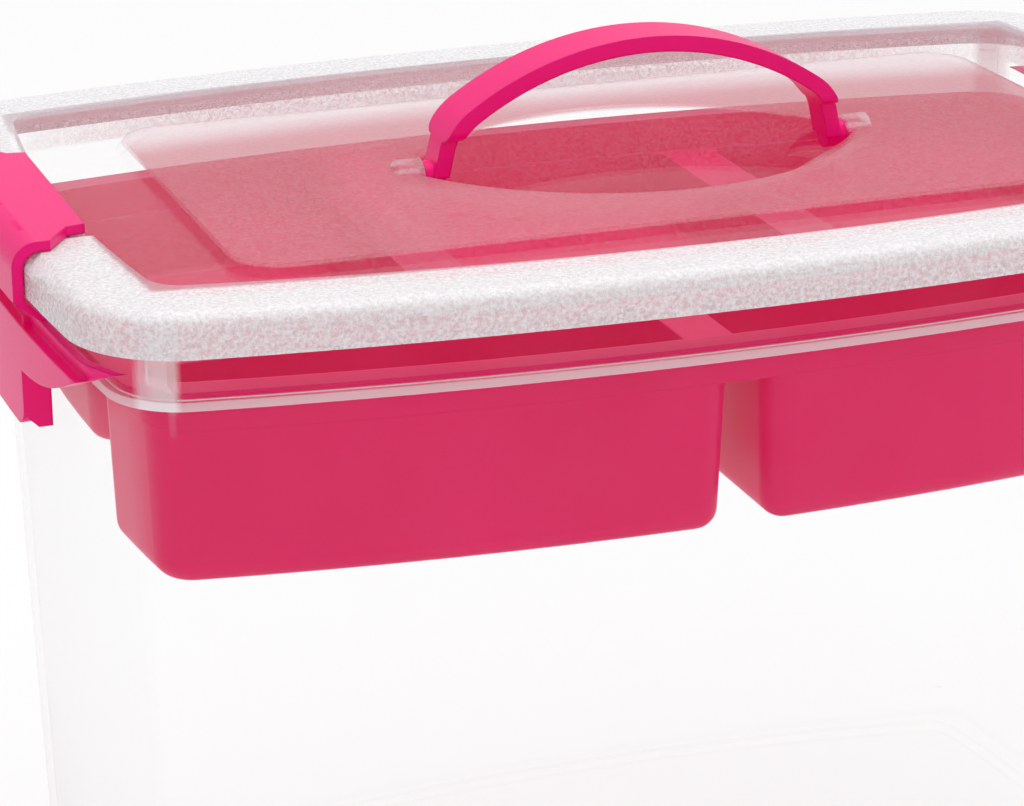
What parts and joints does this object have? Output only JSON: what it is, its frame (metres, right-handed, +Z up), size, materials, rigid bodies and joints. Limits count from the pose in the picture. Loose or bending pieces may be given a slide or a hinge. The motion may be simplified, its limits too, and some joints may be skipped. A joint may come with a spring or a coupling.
{
  "type": "storage box with tray",
  "caption": "Clear bowed storage box with a frosted lid, folding carry handle, winged end latches and a lift-out tray with open pockets.",
  "frame": {"origin": "middle of the box's underside, on the surface it stands on", "axes": "+X along the long side, +Y to the back, +Z up; the front is -Y"},
  "size_m": [0.3784, 0.2356, 0.2715],
  "materials": {
    "clear_wall": "clear moulded polypropylene, slightly hazy, smooth",
    "frosted_lid": "clear moulded polypropylene with a fine grained outer face",
    "pink_plastic": "hot pink moulded polypropylene, glossy"
  },
  "bodies": {
    "storage_box": {"storage_box": "clear_wall"},
    "lid": {"lid": "frosted_lid"},
    "carry_handle": {"carry_handle": "pink_plastic"},
    "latch_left": {"latch_left": "pink_plastic"},
    "latch_right": {"latch_right": "pink_plastic"},
    "tray": {"tray": "pink_plastic"}
  },
  "joints": [
    {"name": "lid_lift", "type": "slide", "parent": "storage_box", "child": "lid", "axis": [0, 0, 1], "range_m": [0, 0.15]},
    {"name": "handle_fold", "type": "hinge", "parent": "lid", "child": "carry_handle", "pos_m": [0, 0, 0.236], "axis": [1, 0, 0], "range_deg": [-50, 50]},
    {"name": "latch_left_open", "type": "hinge", "parent": "lid", "child": "latch_left", "pos_m": [-0.168, 0, 0.2382], "axis": [0, 1, 0], "range_deg": [0, 95]},
    {"name": "latch_right_open", "type": "hinge", "parent": "lid", "child": "latch_right", "pos_m": [0.168, 0, 0.2382], "axis": [0, -1, 0], "range_deg": [0, 95]},
    {"name": "tray_lift", "type": "slide", "parent": "storage_box", "child": "tray", "axis": [0, 0, 1], "range_m": [0, 0.075]}
  ],
  "couplings": [
    {"joint": "tray_lift", "follows": "lid_lift", "ratio": 0.5}
  ]
}
